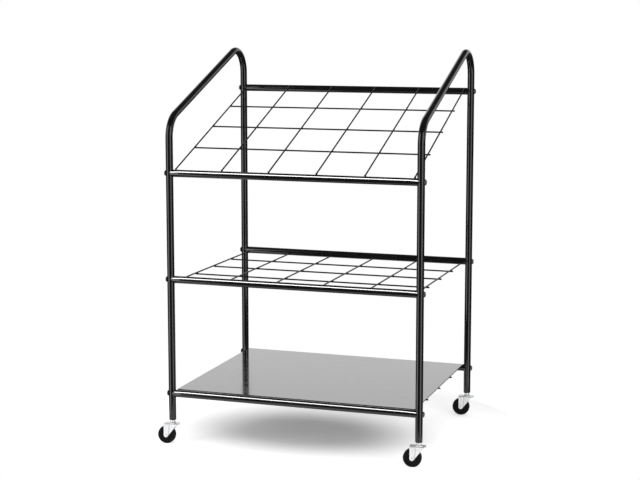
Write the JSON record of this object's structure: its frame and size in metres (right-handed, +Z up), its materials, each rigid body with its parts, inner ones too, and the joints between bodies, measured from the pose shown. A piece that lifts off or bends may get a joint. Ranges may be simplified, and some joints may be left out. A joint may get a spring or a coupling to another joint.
{
  "type": "blueprint storage cart",
  "caption": "Rolling cart of bent black tube that stands rolled drawings on a board, upright in the square cells of a level and a sloping wire grid, on swivel casters.",
  "frame": {"origin": "on the floor under the middle of the cart's box, casters included", "axes": "+Z up, +X towards the cart's right, -Y towards its low front"},
  "size_m": [0.7268, 0.5532, 1.0267],
  "materials": {
    "frame_black": "gloss black coat",
    "wire_black": "semi-gloss black coat",
    "board_black": "smooth glossy black",
    "screw_black": "satin black",
    "zinc": "bright zinc plate",
    "steel": "bright turned steel",
    "wheel_black": "satin moulded black",
    "socket_black": "satin moulded black"
  },
  "bodies": {
    "cart_frame": {"left_side_frame": "frame_black", "right_side_frame": "frame_black", "bottom_front_rail": "frame_black", "bottom_front_left_screw": "screw_black", "bottom_front_right_screw": "screw_black", "bottom_back_rail": "frame_black", "bottom_back_left_screw": "screw_black", "bottom_back_right_screw": "screw_black", "middle_front_rail": "frame_black", "middle_front_left_screw": "screw_black", "middle_front_right_screw": "screw_black", "middle_back_rail": "frame_black", "middle_back_left_screw": "screw_black", "middle_back_right_screw": "screw_black", "top_front_rail": "frame_black", "top_front_left_screw": "screw_black", "top_front_right_screw": "screw_black", "top_back_rail": "frame_black", "top_back_left_screw": "screw_black", "top_back_right_screw": "screw_black", "middle_long_wire_1": "wire_black", "middle_long_wire_2": "wire_black", "middle_long_wire_3": "wire_black", "middle_long_wire_4": "wire_black", "middle_long_wire_5": "wire_black", "middle_long_wire_6": "wire_black", "middle_cross_wire_1": "wire_black", "middle_cross_wire_2": "wire_black", "middle_cross_wire_3": "wire_black", "top_long_wire_1": "wire_black", "top_long_wire_2": "wire_black", "top_long_wire_3": "wire_black", "top_long_wire_4": "wire_black", "top_long_wire_5": "wire_black", "top_long_wire_6": "wire_black", "top_cross_wire_1": "wire_black", "top_cross_wire_2": "wire_black", "top_cross_wire_3": "wire_black", "bottom_grid": "wire_black", "bottom_board": "board_black", "front_left_socket": "socket_black", "front_left_stem": "steel", "front_right_socket": "socket_black", "front_right_stem": "steel", "back_left_socket": "socket_black", "back_left_stem": "steel", "back_right_socket": "socket_black", "back_right_stem": "steel"},
    "front_left_swivel": {"front_left_fork": "zinc", "front_left_axle": "steel"},
    "front_left_roller": {"front_left_wheel": "wheel_black"},
    "front_right_swivel": {"front_right_fork": "zinc", "front_right_axle": "steel"},
    "front_right_roller": {"front_right_wheel": "wheel_black"},
    "back_left_swivel": {"back_left_fork": "zinc", "back_left_axle": "steel"},
    "back_left_roller": {"back_left_wheel": "wheel_black"},
    "back_right_swivel": {"back_right_fork": "zinc", "back_right_axle": "steel"},
    "back_right_roller": {"back_right_wheel": "wheel_black"}
  },
  "joints": [
    {"name": "front_left_swivel_turn", "type": "hinge", "parent": "cart_frame", "child": "front_left_swivel", "pos_m": [-0.32342, -0.26154, 0.0565], "axis": [0, 0, 1], "continuous": true},
    {"name": "front_left_wheel_roll", "type": "hinge", "parent": "front_left_swivel", "child": "front_left_roller", "pos_m": [-0.33933, -0.26321, 0.0238], "axis": [-0.1045, 0.9945, 0], "continuous": true},
    {"name": "front_right_swivel_turn", "type": "hinge", "parent": "cart_frame", "child": "front_right_swivel", "pos_m": [0.34458, -0.26154, 0.0565], "axis": [0, 0, 1], "continuous": true},
    {"name": "front_right_wheel_roll", "type": "hinge", "parent": "front_right_swivel", "child": "front_right_roller", "pos_m": [0.32867, -0.26321, 0.0238], "axis": [-0.1045, 0.9945, 0], "continuous": true},
    {"name": "back_left_swivel_turn", "type": "hinge", "parent": "cart_frame", "child": "back_left_swivel", "pos_m": [-0.32342, 0.26346, 0.0565], "axis": [0, 0, 1], "continuous": true},
    {"name": "back_left_wheel_roll", "type": "hinge", "parent": "back_left_swivel", "child": "back_left_roller", "pos_m": [-0.33933, 0.26179, 0.0238], "axis": [-0.1045, 0.9945, 0], "continuous": true},
    {"name": "back_right_swivel_turn", "type": "hinge", "parent": "cart_frame", "child": "back_right_swivel", "pos_m": [0.34458, 0.26346, 0.0565], "axis": [0, 0, 1], "continuous": true},
    {"name": "back_right_wheel_roll", "type": "hinge", "parent": "back_right_swivel", "child": "back_right_roller", "pos_m": [0.32867, 0.26179, 0.0238], "axis": [-0.1045, 0.9945, 0], "continuous": true}
  ]
}
